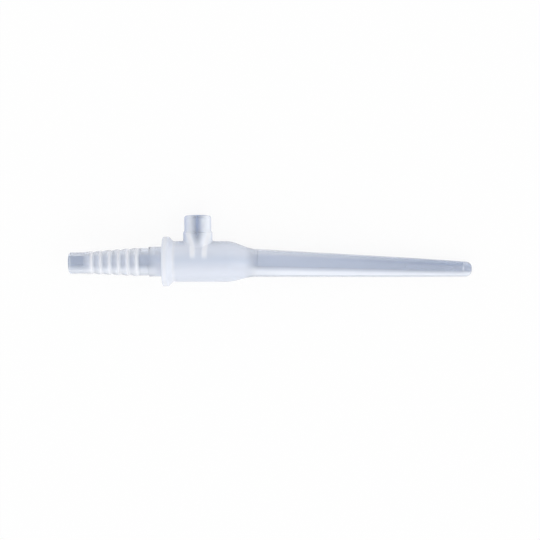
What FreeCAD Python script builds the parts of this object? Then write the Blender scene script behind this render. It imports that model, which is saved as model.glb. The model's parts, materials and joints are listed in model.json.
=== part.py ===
import FreeCAD, Part
import math
import os

# Newborn oral suction tip: one soft translucent moulding, at rest on a flat surface.
# Lengths are in millimetres and angles in degrees. In the moulding's own frame X runs along the body
# towards the tip, with zero at the flange's tubing side, and the finger port points along +Y. The
# finished part lies on its flange, port rim and tip end, with Z up and X towards the tip.

# Body and flange
BODY_DIAMETER = 12.9
BODY_LENGTH = 20.0
SHOULDER_LENGTH = 9.3
FLANGE_DIAMETER = 15.7
FLANGE_THICKNESS = 1.9
FLANGE_SLOPE = 1.3
FLANGE_ROUND = 0.45
FLANGE_BLEND = 0.9

# Tip: it droops so that its underside runs level, and narrows a little faster past its middle
TIP_DROOP = 1.68
TIP_OFFSET = 0.45
TIP_LENGTH = 68.2
TIP_ROOT_DIAMETER = 8.8
TIP_MIDDLE_STATION = 49.0
TIP_MIDDLE_DIAMETER = 6.05
TIP_MIDDLE_BLEND = 80.0
TIP_END_DIAMETER = 4.6
TIP_END_ROUND = 2.0

# Finger port, a short chimney on a slightly wider collar
PORT_STATION = 11.05
PORT_RISE = 8.1
PORT_DIAMETER = 8.5
PORT_RIM_ROUND = 0.9
PORT_COLLAR_DIAMETER = 9.2
PORT_COLLAR_RISE = 3.2
PORT_COLLAR_SLOPE = 0.5
PORT_ROOT_FILLET = 0.5
PORT_BORE_DIAMETER = 4.0
PORT_MOUTH_FLARE = 0.9

# Barbed tubing connector, which droops a little away from the port
CONNECTOR_DROOP = 1.0
NOSE_DIAMETER = 6.7
NOSE_LENGTH = 4.5
NOSE_LEAD_IN = 0.4
NOSE_LEAD_IN_DEPTH = 0.2
BARB_COUNT = 6
BARB_PITCH = 2.84
BARB_LAND = 1.0
BARB_STEP = 0.12
BARB_DEPTH = 0.24
FIRST_BARB_DIAMETER = 7.1
LAST_BARB_DIAMETER = 8.85
SHANK_DIAMETER = 8.65
SHANK_LENGTH = 3.4
COLLAR_DIAMETER = 9.4
COLLAR_LENGTH = 4.4
COLLAR_CHAMFER = 0.25
COLLAR_FLARE = 0.4

# Suction channel, from the connector's bore to the hole in the tip's end; it widens past the tip's root
CONNECTOR_BORE_DIAMETER = 4.5
CHANNEL_DIAMETER = 4.2
CHANNEL_LEAD_IN = 0.5
TIP_CHANNEL_START = 0.5
TIP_CHANNEL_DIAMETER = 5.3
TIP_CHANNEL_END_DIAMETER = 3.0
END_HOLE_DIAMETER = 2.0
END_HOLE_LENGTH = 2.6
END_HOLE_LEAD_IN = 0.6

# How far a cutting tool runs past the surface that it opens, and circles in the lofted shoulder
OVERRUN = 1.0
SHOULDER_SECTIONS = 7

# How near the body's surface an edge of the port's root ends, and the shortest such edge that is rounded
ROOT_NEARNESS = 0.01
ROOT_SHORTEST_EDGE = 0.1

# Search for the resting pose: rounds, and the small turn that measures each slope
REST_ROUNDS = 20
REST_NUDGE = 1e-6

X_AXIS = FreeCAD.Vector(1, 0, 0)
Z_AXIS = FreeCAD.Vector(0, 0, 1)
ZERO = FreeCAD.Vector(0, 0, 0)

BODY_RADIUS = BODY_DIAMETER / 2
PORT_TOP = BODY_RADIUS + PORT_RISE
CONNECTOR_LENGTH = (
    NOSE_LENGTH + BARB_COUNT * BARB_PITCH + BARB_STEP + SHANK_LENGTH + COLLAR_LENGTH
)


def closed(corners):
    """Adds the two points on the axis that close a profile of (station, radius, rounding) corners."""
    return [(corners[0][0], 0, 0), *corners, (corners[-1][0], 0, 0)]


def rounding_at(corners, index):
    """Where a corner's arc starts, its middle, its end and its centre, in the profile's plane."""
    here = FreeCAD.Vector(*corners[index][:2], 0)
    back = (FreeCAD.Vector(*corners[index - 1][:2], 0) - here).normalize()
    onward = (FreeCAD.Vector(*corners[(index + 1) % len(corners)][:2], 0) - here).normalize()
    radius = corners[index][2]
    half = back.getAngle(onward) / 2
    reach = radius / math.tan(half)
    centre = here + (back + onward).normalize() * (radius / math.sin(half))
    middle = centre + (here - centre).normalize() * radius
    return here + back * reach, middle, here + onward * reach, centre


def lathe(corners):
    """Solid turned about X from (station, radius, rounding) corners; a rounding of 0 stays sharp."""
    outline = closed(corners)
    edges = []
    last = FreeCAD.Vector(*outline[-1][:2], 0)
    for index, (station, radius, rounding) in enumerate(outline):
        if rounding == 0:
            corner = FreeCAD.Vector(station, radius, 0)
            edges.append(Part.LineSegment(last, corner).toShape())
            last = corner
            continue
        start, middle, end, _ = rounding_at(outline, index)
        edges.append(Part.LineSegment(last, start).toShape())
        edges.append(Part.Arc(start, middle, end).toShape())
        last = end
    return Part.Face(Part.Wire(edges)).revolve(ZERO, X_AXIS, 360)


def placed(shape, placement):
    """The shape after a move."""
    shape.Placement = placement
    return shape


def tip_placement():
    """Puts a shape turned about X on the tip's own drooping axis, with zero at the tip's root."""
    root = FreeCAD.Vector(BODY_LENGTH + SHOULDER_LENGTH, -TIP_OFFSET, 0)
    return FreeCAD.Placement(root, FreeCAD.Rotation(Z_AXIS, -TIP_DROOP))


def connector_placement():
    """Puts a shape turned about X on the connector's drooping axis."""
    return FreeCAD.Placement(ZERO, FreeCAD.Rotation(Z_AXIS, CONNECTOR_DROOP))


def port_placement():
    """Stands a shape turned about X up at the port, so that stations are heights above the body's axis."""
    return FreeCAD.Placement(FreeCAD.Vector(PORT_STATION, 0, 0), FreeCAD.Rotation(Z_AXIS, 90))


def shoulder():
    """Round neck lofted from the body's axis to the tip's, through circles that shift and turn as they go."""
    wires = []
    for i in range(SHOULDER_SECTIONS):
        share = i / (SHOULDER_SECTIONS - 1)
        eased = share * share * (3 - 2 * share)
        centre = FreeCAD.Vector(BODY_LENGTH + share * SHOULDER_LENGTH, -eased * TIP_OFFSET, 0)
        facing = FreeCAD.Rotation(Z_AXIS, -eased * TIP_DROOP).multVec(X_AXIS)
        diameter = BODY_DIAMETER + (TIP_ROOT_DIAMETER - BODY_DIAMETER) * eased
        wires.append(Part.Wire(Part.Circle(centre, facing, diameter / 2).toShape()))
    return Part.makeLoft(wires, True, False)


def body_profile():
    """Flange, the cone behind its rim and the plain body."""
    return [
        (0, FLANGE_DIAMETER / 2, FLANGE_ROUND),
        (FLANGE_THICKNESS, FLANGE_DIAMETER / 2, FLANGE_ROUND),
        (FLANGE_THICKNESS + FLANGE_SLOPE, BODY_RADIUS, FLANGE_BLEND),
        (BODY_LENGTH, BODY_RADIUS, 0),
    ]


def tip_profile():
    """Slender cone that narrows faster past its middle, with a blunt rounded end."""
    return [
        (0, TIP_ROOT_DIAMETER / 2, 0),
        (TIP_MIDDLE_STATION, TIP_MIDDLE_DIAMETER / 2, TIP_MIDDLE_BLEND),
        (TIP_LENGTH, TIP_END_DIAMETER / 2, TIP_END_ROUND),
    ]


def port_profile():
    """Chimney on its collar, from the body's axis up."""
    collar_top = BODY_RADIUS + PORT_COLLAR_RISE
    return [
        (0, PORT_COLLAR_DIAMETER / 2, 0),
        (collar_top - PORT_COLLAR_SLOPE, PORT_COLLAR_DIAMETER / 2, 0),
        (collar_top, PORT_DIAMETER / 2, 0),
        (PORT_TOP, PORT_DIAMETER / 2, PORT_RIM_ROUND),
    ]


def barb_profile(index):
    """One barb: a ramp up to a level land, then a short step down on the flange's side."""
    growth = (LAST_BARB_DIAMETER - FIRST_BARB_DIAMETER) / (BARB_COUNT - 1)
    crest = (FIRST_BARB_DIAMETER + index * growth) / 2
    root = SHANK_DIAMETER / 2 if index == BARB_COUNT - 1 else crest - BARB_DEPTH
    step = NOSE_LENGTH + (index + 1) * BARB_PITCH - CONNECTOR_LENGTH
    return [
        (step - BARB_LAND, crest, 0),
        (step, crest, 0),
        (step + BARB_STEP, root, 0),
    ]


def connector_profile():
    """Plain nose, barbs on a taper, shank and collar, whose foot flares into the flange."""
    nose = NOSE_DIAMETER / 2
    collar = COLLAR_DIAMETER / 2
    seat = FLANGE_THICKNESS / 2
    corners = [
        (-CONNECTOR_LENGTH, nose - NOSE_LEAD_IN_DEPTH, 0),
        (NOSE_LEAD_IN - CONNECTOR_LENGTH, nose, 0),
        (NOSE_LENGTH - CONNECTOR_LENGTH, nose, 0),
    ]
    for index in range(BARB_COUNT):
        corners += barb_profile(index)
    corners += [
        (-COLLAR_LENGTH, SHANK_DIAMETER / 2, 0),
        (-COLLAR_LENGTH, collar - COLLAR_CHAMFER, 0),
        (COLLAR_CHAMFER - COLLAR_LENGTH, collar, 0),
        (-COLLAR_FLARE, collar, 0),
        (seat, collar + COLLAR_FLARE + seat, 0),
    ]
    return corners


def port_root_edges(shape):
    """Edges where the port's collar meets the round body."""
    found = []
    for edge in shape.Edges:
        box = edge.BoundBox
        by_port = abs(box.Center.x - PORT_STATION) < PORT_COLLAR_DIAMETER / 2 and box.YMin > 0
        on_body = all(abs(math.hypot(v.Y, v.Z) - BODY_RADIUS) < ROOT_NEARNESS for v in edge.Vertexes)
        if by_port and on_body and box.XLength > ROOT_SHORTEST_EDGE:
            found.append(edge)
    return found


def outside():
    """Everything but the channel and the port's bore."""
    shape = lathe(body_profile()).fuse([
        shoulder(),
        placed(lathe(tip_profile()), tip_placement()),
        placed(lathe(connector_profile()), connector_placement()),
        placed(lathe(port_profile()), port_placement()),
    ]).removeSplitter()
    return shape.makeFillet(PORT_ROOT_FILLET, port_root_edges(shape))


def port_bore():
    """Straight bore with a flared mouth, down to the channel's middle."""
    bore = PORT_BORE_DIAMETER / 2
    return placed(lathe([
        (0, bore, 0),
        (PORT_TOP - PORT_MOUTH_FLARE, bore, 0),
        (PORT_TOP + OVERRUN, bore + PORT_MOUTH_FLARE + OVERRUN, 0),
    ]), port_placement())


def connector_bore():
    """Straight bore from the tubing end to the flange, with a short cone where the channel takes over."""
    return placed(lathe([
        (-CONNECTOR_LENGTH - OVERRUN, CONNECTOR_BORE_DIAMETER / 2, 0),
        (0, CONNECTOR_BORE_DIAMETER / 2, 0),
        (CHANNEL_LEAD_IN, CONNECTOR_BORE_DIAMETER / 2 - CHANNEL_LEAD_IN, 0),
    ]), connector_placement())


def body_channel():
    """Straight channel from the flange through the body, into the start of the tip's wider channel."""
    return lathe([
        (0, CHANNEL_DIAMETER / 2, 0),
        (BODY_LENGTH + SHOULDER_LENGTH + TIP_CHANNEL_START + OVERRUN, CHANNEL_DIAMETER / 2, 0),
    ])


def tip_channel():
    """Channel that starts with a step just past the tip's root and narrows to the hole in its end."""
    hole_start = TIP_LENGTH - END_HOLE_LENGTH
    return placed(lathe([
        (TIP_CHANNEL_START, TIP_CHANNEL_DIAMETER / 2, 0),
        (hole_start - END_HOLE_LEAD_IN, TIP_CHANNEL_END_DIAMETER / 2, 0),
        (hole_start, END_HOLE_DIAMETER / 2, 0),
        (TIP_LENGTH + OVERRUN, END_HOLE_DIAMETER / 2, 0),
    ]), tip_placement())


def moulding():
    """The whole suction tip as one solid, in the moulding's own frame."""
    inside = body_channel().fuse([
        tip_channel(),
        connector_bore(),
        port_bore(),
    ])
    return outside().cut(inside).removeSplitter()


def rim(corners, placement):
    """A profile's last rounded corner as a ring: its centre, axis, radius and rounding."""
    outline = closed(corners)
    index = max(i for i, corner in enumerate(outline) if corner[2] > 0)
    middle = rounding_at(outline, index)[3]
    centre = placement.multVec(FreeCAD.Vector(middle.x, 0, 0))
    return centre, placement.Rotation.multVec(X_AXIS), middle.y, outline[index][2]


def touching_rims():
    """The three round edges that the part lies on: flange, port rim and tip end."""
    return [
        rim(body_profile()[:2] + [(*body_profile()[2][:2], 0)], FreeCAD.Placement()),
        rim(port_profile(), port_placement()),
        rim(tip_profile(), tip_placement()),
    ]


def depth(ring, down):
    """How far a rounded rim reaches in the direction down."""
    centre, axis, radius, rounding = ring
    return centre.dot(down) + radius * axis.cross(down).Length + rounding


def down_direction(pitch, roll):
    """Down in the moulding's frame, with the tip lowered by pitch and the port lowered by roll."""
    return FreeCAD.Vector(
        math.sin(pitch), math.cos(pitch) * math.sin(roll), -math.cos(pitch) * math.cos(roll)
    )


def resting_down():
    """The direction in which the three touching rims are equally deep, by Newton's method."""
    rings = touching_rims()

    def gaps(pitch, roll):
        flange, port, tip = [depth(ring, down_direction(pitch, roll)) for ring in rings]
        return port - flange, tip - flange

    pitch, roll = 0.0, 0.0
    for _ in range(REST_ROUNDS):
        port_gap, tip_gap = gaps(pitch, roll)
        pitched = gaps(pitch + REST_NUDGE, roll)
        rolled = gaps(pitch, roll + REST_NUDGE)
        port_by_pitch = (pitched[0] - port_gap) / REST_NUDGE
        tip_by_pitch = (pitched[1] - tip_gap) / REST_NUDGE
        port_by_roll = (rolled[0] - port_gap) / REST_NUDGE
        tip_by_roll = (rolled[1] - tip_gap) / REST_NUDGE
        spread = port_by_pitch * tip_by_roll - port_by_roll * tip_by_pitch
        pitch -= (port_gap * tip_by_roll - tip_gap * port_by_roll) / spread
        roll -= (tip_gap * port_by_pitch - port_gap * tip_by_pitch) / spread
    return down_direction(pitch, roll)


def resting_placement(shape):
    """Lays the moulding on a surface at Z = 0, tip along +X, centred on its footprint."""
    up = resting_down() * -1
    forward = (X_AXIS - up * X_AXIS.dot(up)).normalize()
    side = up.cross(forward)
    turn = FreeCAD.Placement(FreeCAD.Matrix(
        forward.x, forward.y, forward.z, 0,
        side.x, side.y, side.z, 0,
        up.x, up.y, up.z, 0,
        0, 0, 0, 1,
    ))
    box = placed(shape.copy(), turn).optimalBoundingBox(False, False)
    foot = FreeCAD.Vector(box.Center.x, box.Center.y, box.ZMin)
    return FreeCAD.Placement(foot * -1, turn.Rotation)


def main():
    os.makedirs("parts", exist_ok=True)
    tip = moulding()
    tip.Placement = resting_placement(tip)
    tip.exportStep("parts/suction_tip.step")
    print("solids", len(tip.Solids), "valid", tip.isValid(), "volume", round(tip.Volume, 2))
    print("box", tip.optimalBoundingBox(False, False))


main()
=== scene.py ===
import json
import math

import bpy
import numpy as np
from mathutils import Matrix, Vector


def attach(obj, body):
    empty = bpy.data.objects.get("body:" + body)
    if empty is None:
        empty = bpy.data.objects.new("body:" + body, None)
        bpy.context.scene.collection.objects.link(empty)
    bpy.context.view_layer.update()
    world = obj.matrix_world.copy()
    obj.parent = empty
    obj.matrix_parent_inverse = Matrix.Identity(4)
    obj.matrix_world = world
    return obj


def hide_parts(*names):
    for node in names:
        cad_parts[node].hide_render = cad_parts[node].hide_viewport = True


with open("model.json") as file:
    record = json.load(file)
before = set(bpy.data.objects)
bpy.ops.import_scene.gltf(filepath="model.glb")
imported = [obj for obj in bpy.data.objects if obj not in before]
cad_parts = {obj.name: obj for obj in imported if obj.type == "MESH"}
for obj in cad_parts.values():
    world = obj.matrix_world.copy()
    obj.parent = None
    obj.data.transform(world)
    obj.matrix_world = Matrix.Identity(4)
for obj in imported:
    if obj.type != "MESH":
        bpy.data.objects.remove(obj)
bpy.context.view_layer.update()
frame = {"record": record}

# Newborn oral suction tip: one soft translucent moulding, lying on a pale table and seen from above.
# Lengths are in metres. The moulding's own frame has x along the body towards the tip, y towards the
# finger port and z up from the table. The frame's mounts say where that frame lies.

MM = 0.001

# Body and flange
BODY_RADIUS = 6.45 * MM
BODY_LENGTH = 20.0 * MM
SHOULDER_LENGTH = 9.3 * MM
FLANGE_RADIUS = 7.85 * MM
FLANGE_THICKNESS = 1.9 * MM
FLANGE_SLOPE = 1.3 * MM
FLANGE_ROUND = 0.45 * MM
FLANGE_BLEND = 0.9 * MM

# Tip
TIP_DROOP = math.radians(1.68)
TIP_OFFSET = 0.45 * MM
TIP_LENGTH = 68.2 * MM
TIP_ROOT_RADIUS = 4.4 * MM
TIP_MIDDLE_STATION = 49.0 * MM
TIP_MIDDLE_RADIUS = 3.025 * MM
TIP_MIDDLE_BLEND = 80.0 * MM
TIP_END_RADIUS = 2.3 * MM
TIP_END_ROUND = 2.0 * MM

# Finger port
PORT_STATION = 11.05 * MM
PORT_TOP = 14.55 * MM
PORT_RADIUS = 4.25 * MM
PORT_RIM_ROUND = 0.9 * MM
PORT_COLLAR_RADIUS = 4.6 * MM
PORT_COLLAR_TOP = 9.65 * MM
PORT_COLLAR_SLOPE = 0.5 * MM
PORT_ROOT_FILLET = 0.5 * MM
PORT_BORE_RADIUS = 2.0 * MM
PORT_MOUTH_FLARE = 0.9 * MM

# Barbed connector
CONNECTOR_DROOP = math.radians(1.0)
CONNECTOR_LENGTH = 29.46 * MM
NOSE_RADIUS = 3.35 * MM
NOSE_LENGTH = 4.5 * MM
NOSE_LEAD_IN = 0.4 * MM
NOSE_LEAD_IN_DEPTH = 0.2 * MM
BARB_COUNT = 6
BARB_PITCH = 2.84 * MM
BARB_LAND = 1.0 * MM
BARB_STEP = 0.12 * MM
BARB_DEPTH = 0.24 * MM
FIRST_BARB_RADIUS = 3.55 * MM
LAST_BARB_RADIUS = 4.425 * MM
SHANK_RADIUS = 4.325 * MM
COLLAR_RADIUS = 4.7 * MM
COLLAR_LENGTH = 4.4 * MM
COLLAR_FLARE = 0.4 * MM

# Suction channel
CONNECTOR_BORE_RADIUS = 2.25 * MM
NOSE_FACE_RADIUS = 2.8 * MM
CHANNEL_RADIUS = 2.1 * MM
TIP_CHANNEL_START = 0.5 * MM
TIP_CHANNEL_RADIUS = 2.65 * MM
TIP_CHANNEL_END_RADIUS = 1.5 * MM
END_HOLE_RADIUS = 1.0 * MM
END_HOLE_LENGTH = 2.6 * MM
END_HOLE_LEAD_IN = 0.6 * MM

# Softened edges
CREST_ROUND = 0.06 * MM
CHAMFER_ROUND = 0.25 * MM
MOUTH_ROUND = 0.12 * MM

# Stations where the milky body turns into the clear tip
CLEAR_TIP_START = 25.4 * MM
CLEAR_TIP_END = 30.2 * MM

# Heights over the body's axis between which the port turns clear, its walls take painted light and the painted
# shade of its core shows
PORT_FOOT = 4.6 * MM
PORT_CLEAR = 8.6 * MM
WALL_LIGHT_FOOT = 4.0 * MM
WALL_LIGHT_CLEAR = 6.5 * MM
CORE_FOOT = 6.2 * MM
CORE_CLEAR = 10.4 * MM

# The port's walls turn from clear to painted light, and its bore from painted shade to painted light, by powers
# of how squarely they face up or down. The powers are higher on the flange's side. The guard keeps a division
# by the distance from the port's axis finite.
WALL_LIGHT_POWER = 8
CORE_POWER = 6
FLANGE_SIDE_SHARPNESS = 1.4
PORT_AXIS_GUARD = 1.0 * MM

# Painted shade on the port's edges, on each side: facing where it starts and where it is full, and how dark it
# is
FLANGE_SIDE_SHADE = (1.0, 0.3, 1.0)
TIP_SIDE_SHADE = (0.55, 0.1, 0.6)

# How far the port's mouth takes on the bore's painted shade, and how far its clear skin takes on the painted
# shade colour
MOUTH_SHADE = 0.75
PORT_SHADE = 0.6

# Painted light in stripes where the port's passage goes down to the channel: each side's distance from their
# middle, how much further apart they are at the top, their half width, their heights and their share of the
# crest's painted highlight
STRIPE_STATION = PORT_STATION + 0.45 * MM
STRIPE_PLACE = 1.85 * MM
STRIPE_SPREAD = 1.4 * MM
STRIPE_REACH = 0.8 * MM
STRIPE_FOOT = 0.8 * MM
STRIPE_TOP = 3.2 * MM
STRIPE_LIGHT = 0.7

# How dark the painted shade on the channel's walls is along the moulding
CHANNEL_SHADE_STATIONS = np.array(
    [-25.2, -24.2, -21.3, -18.7, -15.9, -8.2, -7.6, -4.4, -2.0, 29.0, 40.0, 62.0, 84.0, 95.0]
) * MM
CHANNEL_SHADES = [1.0, 0.1, 0.15, 0.24, 0.16, 0.1, 0.45, 0.4, 0.2, 0.2, 0.1, 0.3, 0.6, 0.45]

# Each barb's painted highlight on its crest: how far past the land's end its middle lies, its half width and
# how bright it is.
# The ramp up to it takes painted light by a power of the way along it.
CREST_PLACE = 0.1 * MM
CREST_REACH = 0.37 * MM
CREST_HIGHLIGHTS = [0.85, 0.75, 0.75, 0.75, 0.8, 0.8]
RAMP_LIGHT = 0.6
RAMP_POWER = 1.5

# Painted highlights in lines on the flange: its front edge, and where its slope meets the body
FLANGE_HIGHLIGHT_PLACES = np.array([1.05, 3.6]) * MM
FLANGE_HIGHLIGHT_WEIGHTS = [0.9, 0.5]
FLANGE_LINE_REACH = 0.35 * MM

# Looks that change round the moulding go by turned: 1 on the port's side, 0 on top and below, -1 opposite.
# The clear parts take painted light on the far side: where that starts, is full and ends, and how much by
# station.
FAR_LIGHT_START = -0.05
FAR_LIGHT_END = -0.6
FAR_LIGHT_LAST = -0.75
FAR_LIGHT_FADE = 0.2
FAR_LIGHT_STATIONS = np.array([-8.0, 29.0, 40.0, 62.0, 84.0]) * MM
FAR_LIGHTS = [0.45, 0.65, 0.8, 0.7, 0.62]

# The clear tip takes painted shade on the port's side: where that starts and is full, and how much by station
NEAR_SHADE_START = 0.3
NEAR_SHADE_END = 0.75
NEAR_SHADE_STATIONS = np.array([28.0, 40.0, 62.0, 84.0]) * MM
NEAR_SHADES = [0.0, 0.15, 0.5, 0.9]

# The channel's shade in the milky body, as a bell of turned
SHADE_PLACE = 0.18
SHADE_REACH = 0.26

# Least distance from the axis that turned is worked out with
AXIS_GUARD = 0.06 * MM

# Mesh: columns round the moulding, the usual step along it, the step beside an edge, and rows in a quarter
# turn. A run's cosine spacing is wider in its middle, so it gets more points than its length asks for.
COLUMNS = 96
STEP = 0.9 * MM
EDGE_STEP = 0.04 * MM
ARC_STEPS = 9
RUN_CROWDING = 1.3
SHOULDER_ROWS = 33

# Windows left open in the grid for the port: half their columns, half their length, and their loop's points
ROOT_WINDOW_COLUMNS = 16
ROOT_WINDOW_REACH = 5.8 * MM
PASSAGE_WINDOW_COLUMNS = 21
PASSAGE_WINDOW_REACH = 2.4 * MM
WINDOW_LOOP = 128

# The port's own rows: from the body's window to its root, up the collar, down the passage and out to the
# channel's window. Round the passage, points are wider apart within the corner's angle of the body's line.
# The root's touching points are found in a few rounds.
SKIRT_ROWS = 5
WALL_ROWS = 9
PASSAGE_ROWS = 13
APRON_ROWS = 4
PASSAGE_CORNER = math.radians(38)
ROOT_ROUNDS = 6


def smooth_step(share):
    """Rises from 0 to 1 with level ends: 3 share squared minus 2 share cubed, held outside 0 to 1."""
    share = np.clip(share, 0, 1)
    return share * share * (3 - 2 * share)


def run(start, end, step):
    """Points on a straight run, close together at both ends and about a step apart between: cosine spacing."""
    length = np.linalg.norm(np.subtract(end, start))
    count = max(3, int(np.ceil(length / step * RUN_CROWDING)) + 2)
    share = (1 - np.cos(np.linspace(0, np.pi, count))) / 2
    if length > 4 * EDGE_STEP:
        share = np.unique(np.concatenate([share, [EDGE_STEP / length, 1 - EDGE_STEP / length]]))
    return np.outer(1 - share, start) + np.outer(share, end)


def profile(corners, step=STEP):
    """Points along (station, radius, rounding) corners: straight runs, and a tangent arc at each rounding.

    An arc's centre lies on the line that halves its corner, at the rounding over the sine of half the corner.
    """
    places = np.array([corner[:2] for corner in corners])
    pieces, last = [], places[0]
    for index in range(1, len(corners) - 1):
        rounding = corners[index][2]
        here = places[index]
        if rounding == 0:
            pieces.append(run(last, here, step)[:-1])
            last = here
            continue
        back = places[index - 1] - here
        onward = places[index + 1] - here
        back = back / np.linalg.norm(back)
        onward = onward / np.linalg.norm(onward)
        half = math.acos(np.clip(back @ onward, -1, 1)) / 2
        reach = rounding / math.tan(half)
        middle = (back + onward) / np.linalg.norm(back + onward)
        centre = here + middle * rounding / math.sin(half)
        steps = max(3, math.ceil(ARC_STEPS * (1 - half * 2 / math.pi) * 2))
        swing = (math.pi / 2 - half) * np.linspace(-1, 1, steps + 1)
        across = (onward - back) / np.linalg.norm(onward - back)
        arc = centre + rounding * (np.outer(np.sin(swing), across) - np.outer(np.cos(swing), middle))
        pieces += [run(last, here + back * reach, step)[:-1], arc[:-1]]
        last = arc[-1]
    pieces.append(run(last, places[-1], step))
    return np.concatenate(pieces)


def barb_corners(index):
    """One barb of the connector: a ramp up to a level land, then a short step down."""
    growth = (LAST_BARB_RADIUS - FIRST_BARB_RADIUS) / (BARB_COUNT - 1)
    crest = FIRST_BARB_RADIUS + index * growth
    root = SHANK_RADIUS if index == BARB_COUNT - 1 else crest - BARB_DEPTH
    step = NOSE_LENGTH + (index + 1) * BARB_PITCH - CONNECTOR_LENGTH
    return [
        (step - BARB_LAND, crest, CREST_ROUND),
        (step, crest, CREST_ROUND),
        (step + BARB_STEP, root, CREST_ROUND),
    ]


def outside_profile():
    """The outside from the nose's end face to beside the tip's hole, and the row where its window starts.

    It is straight runs and tangent arcs, but for the shoulder, which narrows by a smooth step.
    """
    nose = -CONNECTOR_LENGTH
    root = BODY_LENGTH + SHOULDER_LENGTH
    connector = [
        (nose, NOSE_FACE_RADIUS, 0),
        (nose, NOSE_RADIUS - NOSE_LEAD_IN_DEPTH, MOUTH_ROUND),
        (nose + NOSE_LEAD_IN, NOSE_RADIUS, MOUTH_ROUND),
        (nose + NOSE_LENGTH, NOSE_RADIUS, CREST_ROUND),
    ]
    for index in range(BARB_COUNT):
        connector += barb_corners(index)
    connector += [
        (-COLLAR_LENGTH, SHANK_RADIUS, CREST_ROUND),
        (-COLLAR_LENGTH, COLLAR_RADIUS, CHAMFER_ROUND),
        (0, COLLAR_RADIUS, COLLAR_FLARE),
        (0, FLANGE_RADIUS, FLANGE_ROUND),
        (FLANGE_THICKNESS, FLANGE_RADIUS, FLANGE_ROUND),
        (FLANGE_THICKNESS + FLANGE_SLOPE, BODY_RADIUS, FLANGE_BLEND),
    ]
    before = profile([*connector, (PORT_STATION - ROOT_WINDOW_REACH, BODY_RADIUS, 0)])
    rows = WINDOW_LOOP // 2 - 2 * ROOT_WINDOW_COLUMNS
    window = np.linspace(-ROOT_WINDOW_REACH, ROOT_WINDOW_REACH, rows + 1)
    beside = np.stack([window + PORT_STATION, np.full(window.size, BODY_RADIUS)], 1)
    after = run((PORT_STATION + ROOT_WINDOW_REACH, BODY_RADIUS), (BODY_LENGTH, BODY_RADIUS), STEP)
    share = np.linspace(0, 1, SHOULDER_ROWS)
    narrowing = BODY_RADIUS + (TIP_ROOT_RADIUS - BODY_RADIUS) * smooth_step(share)
    shoulder = np.stack([BODY_LENGTH + share * SHOULDER_LENGTH, narrowing], 1)
    tip = profile([
        (root, TIP_ROOT_RADIUS, 0),
        (root + TIP_MIDDLE_STATION, TIP_MIDDLE_RADIUS, TIP_MIDDLE_BLEND),
        (root + TIP_LENGTH, TIP_END_RADIUS, TIP_END_ROUND),
        (root + TIP_LENGTH, 0, 0),
    ])
    tip = tip[tip[:, 1] > END_HOLE_RADIUS + MOUTH_ROUND]
    return np.concatenate([before, beside[1:], after[1:], shoulder[1:], tip[1:]]), len(before) - 1


def channel_profile(start):
    """The channel from the tip's hole back to the nose's end face, and the row where its window starts.

    The hole's rim lies on the tip's round end: it is past the rounding's centre by the root of the rounding
    squared less the square of the hole's radial distance from that centre.
    """
    root = BODY_LENGTH + SHOULDER_LENGTH
    dome = TIP_END_ROUND ** 2 - (END_HOLE_RADIUS - TIP_END_RADIUS + TIP_END_ROUND) ** 2
    rim = root + TIP_LENGTH - TIP_END_ROUND + math.sqrt(dome)
    hole = root + TIP_LENGTH - END_HOLE_LENGTH
    step = root + TIP_CHANNEL_START
    before = profile([
        (*start, 0),
        (rim, END_HOLE_RADIUS, MOUTH_ROUND),
        (hole, END_HOLE_RADIUS, MOUTH_ROUND),
        (hole - END_HOLE_LEAD_IN, TIP_CHANNEL_END_RADIUS, MOUTH_ROUND),
        (step, TIP_CHANNEL_RADIUS, MOUTH_ROUND),
        (step - EDGE_STEP, CHANNEL_RADIUS, MOUTH_ROUND),
        (PORT_STATION + PASSAGE_WINDOW_REACH, CHANNEL_RADIUS, 0),
    ])
    rows = WINDOW_LOOP // 2 - 2 * PASSAGE_WINDOW_COLUMNS
    window = np.linspace(PASSAGE_WINDOW_REACH, -PASSAGE_WINDOW_REACH, rows + 1)
    below = np.stack([window + PORT_STATION, np.full(window.size, CHANNEL_RADIUS)], 1)
    after = profile([
        (PORT_STATION - PASSAGE_WINDOW_REACH, CHANNEL_RADIUS, 0),
        (CONNECTOR_BORE_RADIUS - CHANNEL_RADIUS, CHANNEL_RADIUS, MOUTH_ROUND),
        (0, CONNECTOR_BORE_RADIUS, MOUTH_ROUND),
        (-CONNECTOR_LENGTH, CONNECTOR_BORE_RADIUS, MOUTH_ROUND),
        (-CONNECTOR_LENGTH, NOSE_FACE_RADIUS, 0),
    ])
    return np.concatenate([before, below[1:], after[1:-1]])[1:], len(before) - 2


def bent_axis(stations, bend_start, bend_end):
    """Centres and slopes of the axis: the connector droops, the body is straight, and the tip droops.

    Heights fall by the distance along times the sine of the droop, before 0 on the connector and past
    bend_end on the tip. Between bend_start and bend_end the fall grows by a smooth step.
    """
    root = BODY_LENGTH + SHOULDER_LENGTH
    droop = CONNECTOR_DROOP * (1 - smooth_step(1 + stations / COLLAR_FLARE))
    share = smooth_step((stations - bend_start) / (bend_end - bend_start))
    line = -TIP_OFFSET - (stations - root) * math.sin(TIP_DROOP)
    line_at_end = -TIP_OFFSET - (bend_end - root) * math.sin(TIP_DROOP)
    height = np.where(stations < bend_end, share * line_at_end, line)
    height = np.where(stations < 0, stations * math.sin(CONNECTOR_DROOP), height)
    along = np.where(stations < 0, stations * math.cos(CONNECTOR_DROOP), stations)
    along = np.where(stations > root, root + (stations - root) * math.cos(TIP_DROOP), along)
    return np.stack([along, height, np.zeros(len(stations))], 1), droop - TIP_DROOP * share


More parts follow.
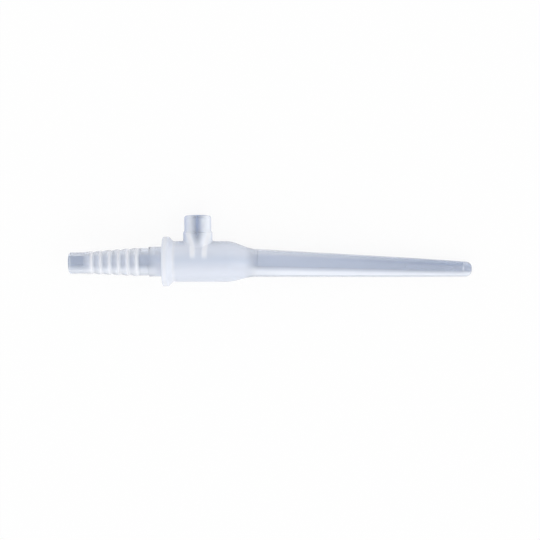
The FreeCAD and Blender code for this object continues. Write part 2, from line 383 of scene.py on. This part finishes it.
def rings(points, centres, slopes):
    """Circles across the axis: its centres plus the profile's radii times the cosine and sine of even angles.

    The first point of each circle is towards the port.
    """
    angles = np.arange(COLUMNS) * 2 * np.pi / COLUMNS
    upright = np.stack([-np.sin(slopes), np.cos(slopes), np.zeros(len(slopes))], 1)
    sideways = np.array([0, 0, 1.0])
    spokes = np.cos(angles)[None, :, None] * upright[:, None] + np.sin(angles)[None, :, None] * sideways
    return centres[:, None] + points[:, 1, None, None] * spokes


def window_loop(start_row, end_row, columns):
    """Grid indices round a window on the port's side, from the middle of its edge nearest the tip."""
    step = 1 if end_row > start_row else -1
    loop = [(start_row, column) for column in range(columns)]
    loop += [(row, columns) for row in range(start_row, end_row, step)]
    loop += [(end_row, column) for column in range(columns, -columns, -1)]
    loop += [(row, -columns) for row in range(end_row, start_row, -step)]
    loop += [(start_row, column) for column in range(-columns, 0)]
    return np.array([row * COLUMNS + column % COLUMNS for row, column in loop])


def on_cylinder(reach, angle, radius):
    """Points of a cylinder along x at a distance from the port's axis, in the directions given by angle.

    Their height is the root of the radius squared less the square of their distance sideways.
    """
    side = reach * np.sin(angle)
    height = np.sqrt(np.maximum(radius ** 2 - side ** 2, 0))
    return np.stack([PORT_STATION + reach * np.cos(angle), height, side], -1)


def between_on_cylinder(outer, inner, radius, steps):
    """Rows from one loop to another over a cylinder, in even steps of station and of angle round it."""
    share = np.linspace(0, 1, steps + 1)[1:, None]
    station = outer[:, 0] * (1 - share) + inner[:, 0] * share
    from_angle = np.arctan2(outer[:, 2], outer[:, 1])
    to_angle = np.arctan2(inner[:, 2], inner[:, 1])
    angle = from_angle * (1 - share) + to_angle * share
    return np.stack([station, radius * np.cos(angle), radius * np.sin(angle)], -1)


def port_surface(outer_loop, inner_loop):
    """The port's skin from the window in the body, up the chimney, over the rim and down to the channel.

    Round the port's axis it is a turned profile. At its root a rolling arc meets the body's cylinder in each
    direction: its touching point is found in rounds, from the cylinder's slope there. At its foot the passage
    meets the channel's cylinder. It also gives the number of rows that lie on the outside.
    """
    even = np.arange(WINDOW_LOOP) * 2 * np.pi / WINDOW_LOOP
    touch = np.full(WINDOW_LOOP, PORT_COLLAR_RADIUS + PORT_ROOT_FILLET)
    for _ in range(ROOT_ROUNDS):
        foot = on_cylinder(touch, even, BODY_RADIUS)
        slope = np.arctan(touch * np.sin(even) ** 2 / foot[:, 1])
        touch = PORT_COLLAR_RADIUS + PORT_ROOT_FILLET * (1 - np.sin(slope))
    foot = on_cylinder(touch, even, BODY_RADIUS)
    centre_height = foot[:, 1] + PORT_ROOT_FILLET * np.cos(slope)
    swing = np.linspace(1, 0, ARC_STEPS + 2)[1:, None] * (np.pi / 2 - slope)
    arc_reach = PORT_COLLAR_RADIUS + PORT_ROOT_FILLET * (1 - np.cos(swing))
    arc_height = centre_height - PORT_ROOT_FILLET * np.sin(swing)
    skirt = between_on_cylinder(outer_loop, foot, BODY_RADIUS, SKIRT_ROWS)

    turned = profile([
        (PORT_COLLAR_TOP - PORT_COLLAR_SLOPE - CHAMFER_ROUND, PORT_COLLAR_RADIUS, 0),
        (PORT_COLLAR_TOP - PORT_COLLAR_SLOPE, PORT_COLLAR_RADIUS, CHAMFER_ROUND),
        (PORT_COLLAR_TOP, PORT_RADIUS, CHAMFER_ROUND),
        (PORT_TOP, PORT_RADIUS, PORT_RIM_ROUND),
        (PORT_TOP, PORT_BORE_RADIUS + PORT_MOUTH_FLARE, CHAMFER_ROUND),
        (PORT_TOP - PORT_MOUTH_FLARE, PORT_BORE_RADIUS, CHAMFER_ROUND),
        (BODY_RADIUS, PORT_BORE_RADIUS, 0),
    ])
    rise = np.linspace(0, 1, WALL_ROWS + 1)[1:, None]
    wall_height = centre_height * (1 - rise) + turned[0, 0] * rise
    wall_reach = np.full(wall_height.shape, PORT_COLLAR_RADIUS)

    rows = WINDOW_LOOP // 2 - 2 * PASSAGE_WINDOW_COLUMNS
    half_loop = WINDOW_LOOP // 2
    knots = [0, rows // 2, half_loop - rows // 2, half_loop]
    turn = np.interp(np.arange(half_loop + 1), knots, [0, PASSAGE_CORNER, math.pi - PASSAGE_CORNER, math.pi])
    uneven = np.concatenate([turn[:-1], 2 * np.pi - turn[:0:-1]])
    twist = np.linspace(0, 1, len(turned))[:, None] ** 2
    angles = even * (1 - twist) + uneven * twist
    inner_foot = on_cylinder(np.full(WINDOW_LOOP, PORT_BORE_RADIUS), uneven, CHANNEL_RADIUS)
    fall = np.linspace(0, 1, PASSAGE_ROWS + 1)[1:, None]
    passage_height = turned[-1, 0] * (1 - fall) + inner_foot[:, 1] * fall
    passage_reach = np.full(passage_height.shape, PORT_BORE_RADIUS)
    apron = between_on_cylinder(inner_foot, inner_loop, CHANNEL_RADIUS, APRON_ROWS)[:-1]

    reach = np.concatenate([
        arc_reach, wall_reach, np.repeat(turned[1:, 1:], WINDOW_LOOP, 1), passage_reach
    ])
    height = np.concatenate([
        arc_height, wall_height, np.repeat(turned[1:, :1], WINDOW_LOOP, 1), passage_height
    ])
    direction = np.concatenate([
        np.repeat(even[None], len(arc_reach) + len(wall_reach), 0),
        angles[1:],
        np.repeat(uneven[None], len(passage_reach), 0),
    ])
    chimney = np.stack([
        PORT_STATION + reach * np.cos(direction), height, reach * np.sin(direction)
    ], -1)
    outer_rows = len(skirt) + len(arc_reach) + len(wall_reach) - 1
    outer_rows += np.count_nonzero(turned[:, 1] > PORT_BORE_RADIUS + PORT_MOUTH_FLARE)
    return np.concatenate([skirt, chimney, apron]), outer_rows


def grid_faces(index):
    """Quads between neighbouring rows of an index grid whose columns close into a loop."""
    onward = np.roll(index, -1, axis=1)
    return np.stack([index[:-1], onward[:-1], onward[1:], index[1:]], -1).reshape(-1, 4)


def moulding_surface():
    """The whole moulding as one closed skin: points, faces, each point's station, and channel and port marks.

    One profile runs from the nose over the outside to the tip's hole and back through the channel, and is
    carried round the bent axis. Two windows in that grid, in the body and in the channel, are joined by the
    port's skin.
    """
    outside, first_outer = outside_profile()
    channel, first_inner = channel_profile(outside[-1])
    root = BODY_LENGTH + SHOULDER_LENGTH
    step = root + TIP_CHANNEL_START
    outer = rings(outside, *bent_axis(outside[:, 0], BODY_LENGTH, root))
    inner = rings(channel, *bent_axis(channel[:, 0], step - EDGE_STEP, step))
    main = np.concatenate([outer, inner])
    flat = main.reshape(-1, 3)

    outer_rows = WINDOW_LOOP // 2 - 2 * ROOT_WINDOW_COLUMNS
    inner_rows = WINDOW_LOOP // 2 - 2 * PASSAGE_WINDOW_COLUMNS
    outer_loop = window_loop(first_outer + outer_rows, first_outer, ROOT_WINDOW_COLUMNS)
    inner_first = len(outside) + first_inner
    inner_loop = window_loop(inner_first, inner_first + inner_rows, PASSAGE_WINDOW_COLUMNS)
    port, outer_port_rows = port_surface(flat[outer_loop], flat[inner_loop])

    index = np.arange(flat.shape[0]).reshape(main.shape[:2])
    closed = np.concatenate([index, index[:1]])
    quads = grid_faces(closed)
    row, column = quads[:, 0] // COLUMNS, quads[:, 0] % COLUMNS
    side = (column + COLUMNS // 2) % COLUMNS - COLUMNS // 2
    in_root = (row >= first_outer) & (row < first_outer + outer_rows)
    in_root &= (side >= -ROOT_WINDOW_COLUMNS) & (side < ROOT_WINDOW_COLUMNS)
    in_passage = (row >= inner_first) & (row < inner_first + inner_rows)
    in_passage &= (side >= -PASSAGE_WINDOW_COLUMNS) & (side < PASSAGE_WINDOW_COLUMNS)
    quads = quads[~(in_root | in_passage)]

    port_index = np.arange(port[..., 0].size).reshape(port.shape[:2]) + len(flat)
    port_index = np.concatenate([outer_loop[None], port_index, inner_loop[None]])
    everything = np.concatenate([flat, port.reshape(-1, 3)])
    faces = np.concatenate([quads, grid_faces(port_index)[:, ::-1]])
    on_outside = np.repeat(np.arange(len(main)) < len(outside), COLUMNS)
    on_bore = np.repeat(np.arange(len(port)) >= outer_port_rows, WINDOW_LOOP)
    in_channel = np.concatenate([~on_outside, on_bore])
    in_port = np.concatenate([np.zeros(len(flat), bool), np.ones(on_bore.size, bool)])
    station = np.concatenate([
        np.repeat(np.concatenate([outside[:, 0], channel[:, 0]]), COLUMNS),
        port[..., 0].ravel(),
    ])
    used, renumbered = np.unique(faces, return_inverse=True)
    marks = np.stack([in_channel, in_port])[:, used]
    return everything[used], renumbered.reshape(faces.shape), station[used], marks


def bell(distance, reach):
    """A flat-topped bell: e to the minus fourth power of distance over reach, so 1 at its middle."""
    return np.exp(-(distance / reach) ** 4)


def crest_values(station):
    """Painted highlights on each barb's crest and the flange's lines, a bell over each, and painted light on
    barb ramps.

    A ramp's painted light grows from its foot to its step by a power of the share of the pitch.
    """
    painted_highlights = np.zeros(len(station))
    for index in range(BARB_COUNT):
        step = NOSE_LENGTH + (index + 1) * BARB_PITCH - CONNECTOR_LENGTH
        painted_highlights += CREST_HIGHLIGHTS[index] * bell(station - step - CREST_PLACE, CREST_REACH)
    for line, weight in zip(FLANGE_HIGHLIGHT_PLACES, FLANGE_HIGHLIGHT_WEIGHTS):
        painted_highlights += weight * bell(station - line, FLANGE_LINE_REACH)
    barbed = (station - NOSE_LENGTH + CONNECTOR_LENGTH) / BARB_PITCH
    on_barbs = (barbed > 0) & (barbed < BARB_COUNT)
    return painted_highlights, np.where(on_barbs, RAMP_LIGHT * (barbed % 1) ** RAMP_POWER, 0)


def port_values(points, in_port):
    """Looks by height over the body's axis and by facing: the port's rise, painted light on its walls and in
    stripes, painted shade at its edges and in its bore.

    Facing is a point's distance up or down from the port's axis over its whole distance. The walls' painted
    light is 1 less a power of it and the bore's painted shade is a power of it, both sharper low down. The
    stripes of painted light are two bells along the body, which spread with the square of the height.
    """
    height = points[:, 1]
    across = np.hypot(points[:, 0] - PORT_STATION, points[:, 2])
    facing = np.abs(points[:, 2]) / np.maximum(across, PORT_AXIS_GUARD)
    to_flange = points[:, 0] < PORT_STATION
    rise = smooth_step((height - PORT_FOOT) / (PORT_CLEAR - PORT_FOOT))
    core_rise = smooth_step((height - CORE_FOOT) / (CORE_CLEAR - CORE_FOOT))
    sharpness = (2 - core_rise) * np.where(to_flange, FLANGE_SIDE_SHARPNESS, 1)

    # Painted light in stripes down the passage
    climb = np.clip((height - STRIPE_TOP) / (PORT_CLEAR - STRIPE_TOP), 0, 1)
    spread = STRIPE_PLACE + STRIPE_SPREAD * climb ** 2
    stripe = bell(np.abs(points[:, 0] - STRIPE_STATION) - spread, STRIPE_REACH)
    stripe *= smooth_step((height - STRIPE_FOOT) / (STRIPE_TOP - STRIPE_FOOT))
    stripe *= 1 - smooth_step((height - PORT_CLEAR) / (CORE_CLEAR - PORT_CLEAR))

    # Painted light on the port's walls where they face sideways
    wall = smooth_step((height - WALL_LIGHT_FOOT) / (WALL_LIGHT_CLEAR - WALL_LIGHT_FOOT)) * in_port
    wall *= smooth_step((PORT_COLLAR_RADIUS + PORT_ROOT_FILLET - across) / PORT_ROOT_FILLET)
    pale = np.maximum(stripe, (1 - facing ** (WALL_LIGHT_POWER * sharpness)) * wall)
    # Painted shade on the port's edges
    edge = np.zeros(len(points))
    for side, (start, full, shade_depth) in [(to_flange, FLANGE_SIDE_SHADE), (~to_flange, TIP_SIDE_SHADE)]:
        edge += side * shade_depth * smooth_step((start - facing) / (start - full))

    # Painted shade in the port's mouth and in the middle of its bore
    mouth = smooth_step((height - PORT_TOP + 2 * PORT_MOUTH_FLARE) / PORT_MOUTH_FLARE)
    bore_shade = np.maximum(MOUTH_SHADE * mouth, facing ** (CORE_POWER * sharpness) * core_rise)
    return rise, pale, stripe, edge * rise * in_port, bore_shade


def finish_values(points, station, in_channel, in_port):
    """The values on the surface that the plastic's colours and clearness go by, each from 0 to 1.

    Milk is smooth steps along the moulding: none in the thin connector, full in flange and body, none in the
    tip and up the port. Besides milk and flange, the values lay painted highlights, painted light and painted
    shade.
    The painted light on the far side, the painted shade on the port's side and the painted shade over the
    channel also go by turned, which is the part towards the port of a point's distance from the axis, over that
    distance.
    """
    thick = smooth_step((station + COLLAR_LENGTH) / COLLAR_LENGTH)
    thick *= 1 - smooth_step((station - CLEAR_TIP_START) / (CLEAR_TIP_END - CLEAR_TIP_START))
    flange = smooth_step((station + FLANGE_LINE_REACH) / FLANGE_LINE_REACH)
    flange *= 1 - smooth_step((station - FLANGE_THICKNESS - FLANGE_SLOPE) / FLANGE_BLEND)
    painted_highlights, ramp = crest_values(station)
    rise, pale, stripe, edge, bore_shade = port_values(points, in_port)

    from_axis = points - bent_axis(station, BODY_LENGTH, BODY_LENGTH + SHOULDER_LENGTH)[0]
    turned = from_axis[:, 1] / np.maximum(np.hypot(from_axis[:, 1], from_axis[:, 2]), AXIS_GUARD)
    # Painted light on the far side of the clear parts
    far_side = smooth_step((turned - FAR_LIGHT_START) / (FAR_LIGHT_END - FAR_LIGHT_START))
    far_side *= 1 - smooth_step((FAR_LIGHT_LAST - turned) / FAR_LIGHT_FADE)
    far_side_light = np.interp(station, FAR_LIGHT_STATIONS, FAR_LIGHTS) * far_side * (1 - thick)
    # Painted shade on the clear tip's port side
    near_side = smooth_step((turned - NEAR_SHADE_START) / (NEAR_SHADE_END - NEAR_SHADE_START))
    shade = thick * np.exp(-((turned - SHADE_PLACE) / SHADE_REACH) ** 2) * (1 - flange) * (1 - rise)
    return {
        "milk": thick * (1 - rise),
        "ramp": np.where(in_channel, 0, ramp),
        "pale": np.where(in_channel, 0, np.maximum(pale, far_side_light)),
        "near_side_shade": near_side * np.interp(station, NEAR_SHADE_STATIONS, NEAR_SHADES),
        "shade": np.maximum(shade, PORT_SHADE * rise * in_port),
        "crest": np.where(in_channel, 0, np.maximum(painted_highlights, STRIPE_LIGHT * stripe)),
        "edge": edge,
        "flange": np.where(in_channel, 0, flange),
        "shade_depth": np.interp(station, CHANNEL_SHADE_STATIONS, CHANNEL_SHADES),
        "bore": (in_channel & in_port).astype(float),
        "bore_shade": bore_shade,
        "channel": in_channel.astype(float),
    }


def mount(name):
    """A mount of the frame: its place and the direction it faces."""
    found = next(m for m in frame["record"]["mounts"] if m["name"] == name)
    return np.array(found["pos_m"]), np.array(found["axis"])


def moulding_frame():
    """The moulding's own axes and origin in the row frame, from the port's and the connector's mounts.

    The port's axis is y. The connector droops in the same plane as y, so z is across both.
    """
    mouth, y_axis = mount("finger_port")
    connector = mount("suction_outlet")[1]
    z_axis = np.cross(y_axis, connector)
    z_axis /= np.linalg.norm(z_axis)
    x_axis = np.cross(y_axis, z_axis)
    axes = np.stack([x_axis, y_axis, z_axis])
    return axes, mouth - y_axis * (PORT_TOP - PORT_MOUTH_FLARE) - x_axis * PORT_STATION


def new_mesh(name, points, faces, values):
    """A smooth-shaded mesh object at the origin, with its faces turned outwards and its values on its points.

    The faces are turned when the sum of signed volumes under their triangles is negative.
    """
    a, b, c = points[faces[:, 0]], points[faces[:, 1]], points[faces[:, 2]]
    d = points[faces[:, 3]]
    volume = np.einsum("ij,ij->", a, np.cross(b, c)) + np.einsum("ij,ij->", a, np.cross(c, d))
    if volume < 0:
        faces = faces[:, ::-1]
    mesh = bpy.data.meshes.new(name)
    mesh.from_pydata(points.tolist(), [], faces.tolist())
    mesh.polygons.foreach_set("use_smooth", np.ones(len(faces), bool))
    for label, numbers in values.items():
        mesh.attributes.new(label, "FLOAT", "POINT").data.foreach_set("value", numbers)
    mesh.update()
    piece = bpy.data.objects.new(name, mesh)
    bpy.context.scene.collection.objects.link(piece)
    return piece


class Nodes:
    """Short words for the nodes of one material."""

    def __init__(self, tree):
        self.tree = tree

    def add(self, kind, **values):
        """A new node with its settings."""
        node = self.tree.nodes.new(kind)
        for key, value in values.items():
            setattr(node, key, value)
        return node

    def wire(self, node, **sockets):
        """Links or sets a node's inputs by name, where an underscore stands for a space."""
        for key, value in sockets.items():
            self.put(node.inputs[key.replace("_", " ")], value)
        return node

    def put(self, socket, value):
        """Links a socket to another node's output, or sets it to a constant."""
        if isinstance(value, bpy.types.NodeSocket):
            self.tree.links.new(value, socket)
        else:
            socket.default_value = value

    def math(self, operation, a, b):
        """The result of an operation on two numbers."""
        node = self.add("ShaderNodeMath", operation=operation)
        self.put(node.inputs[0], a)
        self.put(node.inputs[1], b)
        return node.outputs[0]

    def value(self, name):
        """A value that the mesh holds on its points."""
        return self.add("ShaderNodeAttribute", attribute_name=name).outputs["Fac"]

    def blend(self, share, a, b):
        """Colour a where share is 0 and b where it is 1."""
        node = self.add("ShaderNodeMix", data_type="RGBA")
        self.put(node.inputs[0], share)
        self.put(node.inputs[6], a)
        self.put(node.inputs[7], b)
        return node.outputs[2]

    def ease(self, share, a, b):
        """Number a where share is 0 and b where it is 1."""
        node = self.add("ShaderNodeMix", data_type="FLOAT")
        self.put(node.inputs[0], share)
        self.put(node.inputs[2], a)
        self.put(node.inputs[3], b)
        return node.outputs[0]

    def noise(self, scale, detail, place):
        """A cloud of soft noise from 0 to 1."""
        node = self.add("ShaderNodeTexNoise")
        self.wire(node, Vector=place, Scale=scale, Detail=detail)
        return node.outputs["Fac"]


CLEAR_COLOUR = (0.85, 0.89, 0.98, 1)
MILKY_COLOUR = (0.85, 0.895, 1.0, 1)
SHADE_COLOUR = (0.77, 0.84, 0.97, 1)
# Painted shade on the clear tip's port side
NEAR_SIDE_SHADE_COLOUR = (0.58, 0.66, 0.82, 1)
FLANGE_COLOUR = (0.86, 0.90, 0.99, 1)
# Painted highlight on each crest, on the flange's lines and on the stripes, and painted light up the barbs'
# ramps
HIGHLIGHT_COLOUR = (0.95, 0.96, 1.0, 1)
# The channel's walls in painted shade: lighter, darker, and in the milky body
PALE_CHANNEL_COLOUR = (0.80, 0.87, 1.0, 1)
SHADED_CHANNEL_COLOUR = (0.38, 0.47, 0.62, 1)
MILKY_CHANNEL_COLOUR = (0.64, 0.71, 0.84, 1)
# The bore's painted shade, and the painted light on the bore's sides, the port's walls, its stripes and the far
# side
BORE_SHADE_COLOUR = (0.38, 0.50, 0.78, 1)
PAINTED_LIGHT_COLOUR = (0.89, 0.93, 1.0, 1)
# Painted shade on the port's edges
PORT_EDGE_SHADE_COLOUR = (0.56, 0.63, 0.83, 1)

# Colours laid one over another on the outer skin, each by its value there: the milky plastic, painted shade on
# the tip's port side and over the channel, the flange's own colour, then painted light on the barbs' ramps, the
# port's walls and the far side, painted shade at the port's edges and painted highlights on each crest and
# stripe
OUTER_LAYERS = [
    ("milk", MILKY_COLOUR),
    ("near_side_shade", NEAR_SIDE_SHADE_COLOUR),
    ("shade", SHADE_COLOUR),
    ("flange", FLANGE_COLOUR),
    ("ramp", HIGHLIGHT_COLOUR),
    ("pale", PAINTED_LIGHT_COLOUR),
    ("edge", PORT_EDGE_SHADE_COLOUR),
    ("crest", HIGHLIGHT_COLOUR),
]

# How much light goes through clear and milky plastic, and then through each value's stretch, in turn
CLEAR_THROUGH = 0.75
MILKY_THROUGH = 0.28
THROUGH_LAYERS = [
    ("ramp", 0.3),
    ("pale", 0.08),
    ("flange", 0.15),
    ("crest", 0.16),
    ("channel", 0.7),
    ("bore", 0.4),
]

# Roughness wanders between two values on a fine cloud, and milky plastic is rougher still
PLASTIC_IOR = 1.5
CLOUD_SCALE = 350.0
CLOUD_DETAIL = 2.0
SMOOTHEST = 0.1
ROUGHEST = 0.16
MILKY_ROUGHER = 0.09


def soft_plastic():
    """Soft translucent plastic: clear and blue-grey where it is thin, milky where it is thick."""
    material = bpy.data.materials.new("soft_translucent_plastic")
    material.use_nodes = True
    nodes = Nodes(material.node_tree)
    shader = material.node_tree.nodes["Principled BSDF"]
    outer = CLEAR_COLOUR
    for label, colour in OUTER_LAYERS:
        outer = nodes.blend(nodes.value(label), outer, colour)
    # The channel's walls in painted shade, and the bore's painted shade and painted light
    inner = nodes.blend(nodes.value("shade_depth"), PALE_CHANNEL_COLOUR, SHADED_CHANNEL_COLOUR)
    inner = nodes.blend(nodes.value("milk"), inner, MILKY_CHANNEL_COLOUR)
    bore = nodes.blend(nodes.value("bore_shade"), PAINTED_LIGHT_COLOUR, BORE_SHADE_COLOUR)
    inner = nodes.blend(nodes.value("bore"), inner, bore)
    # Painted highlights count as milky for clearness and roughness
    milk = nodes.math("MAXIMUM", nodes.value("milk"), nodes.value("crest"))
    through = nodes.ease(milk, CLEAR_THROUGH, MILKY_THROUGH)
    for label, share in THROUGH_LAYERS:
        through = nodes.ease(nodes.value(label), through, share)
    place = nodes.add("ShaderNodeTexCoord").outputs["Object"]
    cloud = nodes.noise(CLOUD_SCALE, CLOUD_DETAIL, place)
    rougher = nodes.math("MULTIPLY", milk, MILKY_ROUGHER)
    nodes.wire(
        shader,
        Base_Color=nodes.blend(nodes.value("channel"), outer, inner),
        Roughness=nodes.math("ADD", nodes.ease(cloud, SMOOTHEST, ROUGHEST), rougher),
        IOR=PLASTIC_IOR,
        Transmission_Weight=through,
    )
    return material


# Light from all round: its level, and how much weaker it gets low down towards the port's side
WORLD_LEVEL = 0.88
WORLD_SLOPE = 0.05
SEEN_LEVEL = 1.0

# Soft discs of light in the sky, in degrees: azimuth from +X towards +Y, height above the table and half
# width, and then strength. Past that half width each fades out over the edge.
SOFTBOXES = [
    (-90, 38, 24, 0.5),
    (0, 42, 16, 1.2),
]
BOX_EDGE = 8

# The table, in metres, and how much of its look is plain white: to the camera, and by gloss or through plastic
TABLE_HALF = 3.0
TABLE_COLOUR = (0.9, 0.9, 0.9, 1)
TABLE_WHITE = 0.9
TABLE_WHITE_THROUGH = 0.75

# Camera: distance and width of view in metres, the point looked at in the moulding's frame, its tilt, its
# sensor in millimetres and the nearest thing it sees
VIEW_DISTANCE = 0.378
VIEW_WIDTH = 0.17045
VIEW_CENTRE = (33.78 * MM, -2.7 * MM, 0.0)
VIEW_TILT = math.radians(5.0)
SENSOR_WIDTH = 36.0
VIEW_NEAREST = 0.01


def camera(axes, origin):
    """Looks down on the moulding across its body, tilted a little to the port's side."""
    target = Vector(origin + np.array(VIEW_CENTRE) @ axes)
    up, out = Vector(axes[1]), Vector(axes[2])
    away = (out * math.cos(VIEW_TILT) + up * math.sin(VIEW_TILT)).normalized()
    across = Vector(axes[0])
    top = away.cross(across)
    data = bpy.data.cameras.new("camera")
    data.sensor_width = SENSOR_WIDTH
    data.lens = SENSOR_WIDTH * VIEW_DISTANCE / VIEW_WIDTH
    data.clip_start = VIEW_NEAREST
    eye = bpy.data.objects.new("camera", data)
    turn = Matrix((across, top, away)).transposed().to_4x4()
    eye.matrix_world = Matrix.Translation(target + away * VIEW_DISTANCE) @ turn
    bpy.context.scene.collection.objects.link(eye)
    bpy.context.scene.camera = eye


def seen_directly(nodes):
    """How white the table looks to the camera, and to rays that see it by gloss or through plastic."""
    path = nodes.add("ShaderNodeLightPath")
    seen = nodes.math("MULTIPLY", path.outputs["Is Camera Ray"], TABLE_WHITE)
    through = nodes.math("MAXIMUM", path.outputs["Is Glossy Ray"], path.outputs["Is Transmission Ray"])
    return nodes.math("MAXIMUM", seen, nodes.math("MULTIPLY", through, TABLE_WHITE_THROUGH))


def floor():
    """A wide pale table top, which looks white and still keeps a soft shadow."""
    mesh = bpy.data.meshes.new("table")
    corners = [(-TABLE_HALF, -TABLE_HALF, 0), (TABLE_HALF, -TABLE_HALF, 0)]
    corners += [(TABLE_HALF, TABLE_HALF, 0), (-TABLE_HALF, TABLE_HALF, 0)]
    mesh.from_pydata(corners, [], [(0, 1, 2, 3)])
    table = bpy.data.objects.new("table", mesh)
    bpy.context.scene.collection.objects.link(table)
    material = bpy.data.materials.new("pale_table")
    material.use_nodes = True
    nodes = Nodes(material.node_tree)
    shader = material.node_tree.nodes["Principled BSDF"]
    nodes.wire(shader, Base_Color=TABLE_COLOUR, Roughness=1.0)
    glow = nodes.wire(nodes.add("ShaderNodeEmission"), Color=(1, 1, 1, 1), Strength=1.0)
    mix = nodes.add("ShaderNodeMixShader")
    nodes.put(mix.inputs[0], seen_directly(nodes))
    nodes.put(mix.inputs[1], shader.outputs[0])
    nodes.put(mix.inputs[2], glow.outputs[0])
    nodes.put(material.node_tree.nodes["Material Output"].inputs["Surface"], mix.outputs[0])
    mesh.materials.append(material)


def softbox(nodes, azimuth, height, half, strength):
    """A disc of light in the sky: full strength within half of its aim, none past its soft edge."""
    around, up = math.radians(azimuth), math.radians(height)
    aim = (math.cos(around) * math.cos(up), math.sin(around) * math.cos(up), math.sin(up))
    dot = nodes.add("ShaderNodeVectorMath", operation="DOT_PRODUCT")
    nodes.put(dot.inputs[0], nodes.add("ShaderNodeTexCoord").outputs["Generated"])
    nodes.put(dot.inputs[1], aim)
    edge = nodes.add("ShaderNodeMapRange", interpolation_type="SMOOTHSTEP")
    nodes.wire(edge, Value=dot.outputs["Value"])
    nodes.put(edge.inputs["From Min"], math.cos(math.radians(half + BOX_EDGE)))
    nodes.put(edge.inputs["From Max"], math.cos(math.radians(half)))
    nodes.put(edge.inputs["To Max"], strength)
    return edge.outputs[0]


def light():
    """Soft light from all round and discs in the sky; the camera itself sees plain white behind the table.

    The level falls towards the port's side and rises away from it, and is even overhead.
    """
    world = bpy.data.worlds.new("studio")
    bpy.context.scene.world = world
    world.use_nodes = True
    nodes = Nodes(world.node_tree)
    background = world.node_tree.nodes["Background"]
    direction = nodes.add("ShaderNodeSeparateXYZ")
    nodes.put(direction.inputs[0], nodes.add("ShaderNodeTexCoord").outputs["Generated"])
    low = nodes.math("SUBTRACT", WORLD_SLOPE, nodes.math("MULTIPLY", direction.outputs["Z"], WORLD_SLOPE))
    level = nodes.math("SUBTRACT", WORLD_LEVEL, nodes.math("MULTIPLY", direction.outputs["Y"], low))
    for azimuth, height, half, strength in SOFTBOXES:
        level = nodes.math("ADD", level, softbox(nodes, azimuth, height, half, strength))
    camera_ray = nodes.add("ShaderNodeLightPath").outputs["Is Camera Ray"]
    nodes.wire(background, Color=(1, 1, 1, 1), Strength=nodes.ease(camera_ray, level, SEEN_LEVEL))


axes, origin = moulding_frame()
points, faces, station, marks = moulding_surface()
values = finish_values(points, station, *marks)
tip = new_mesh("suction_tip_skin", origin + points @ axes, faces, values)
tip.data.materials.append(soft_plastic())
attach(tip, "root")
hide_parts("suction_tip")
floor()
light()
camera(axes, origin)

bpy.context.scene.view_settings.view_transform = "Standard"
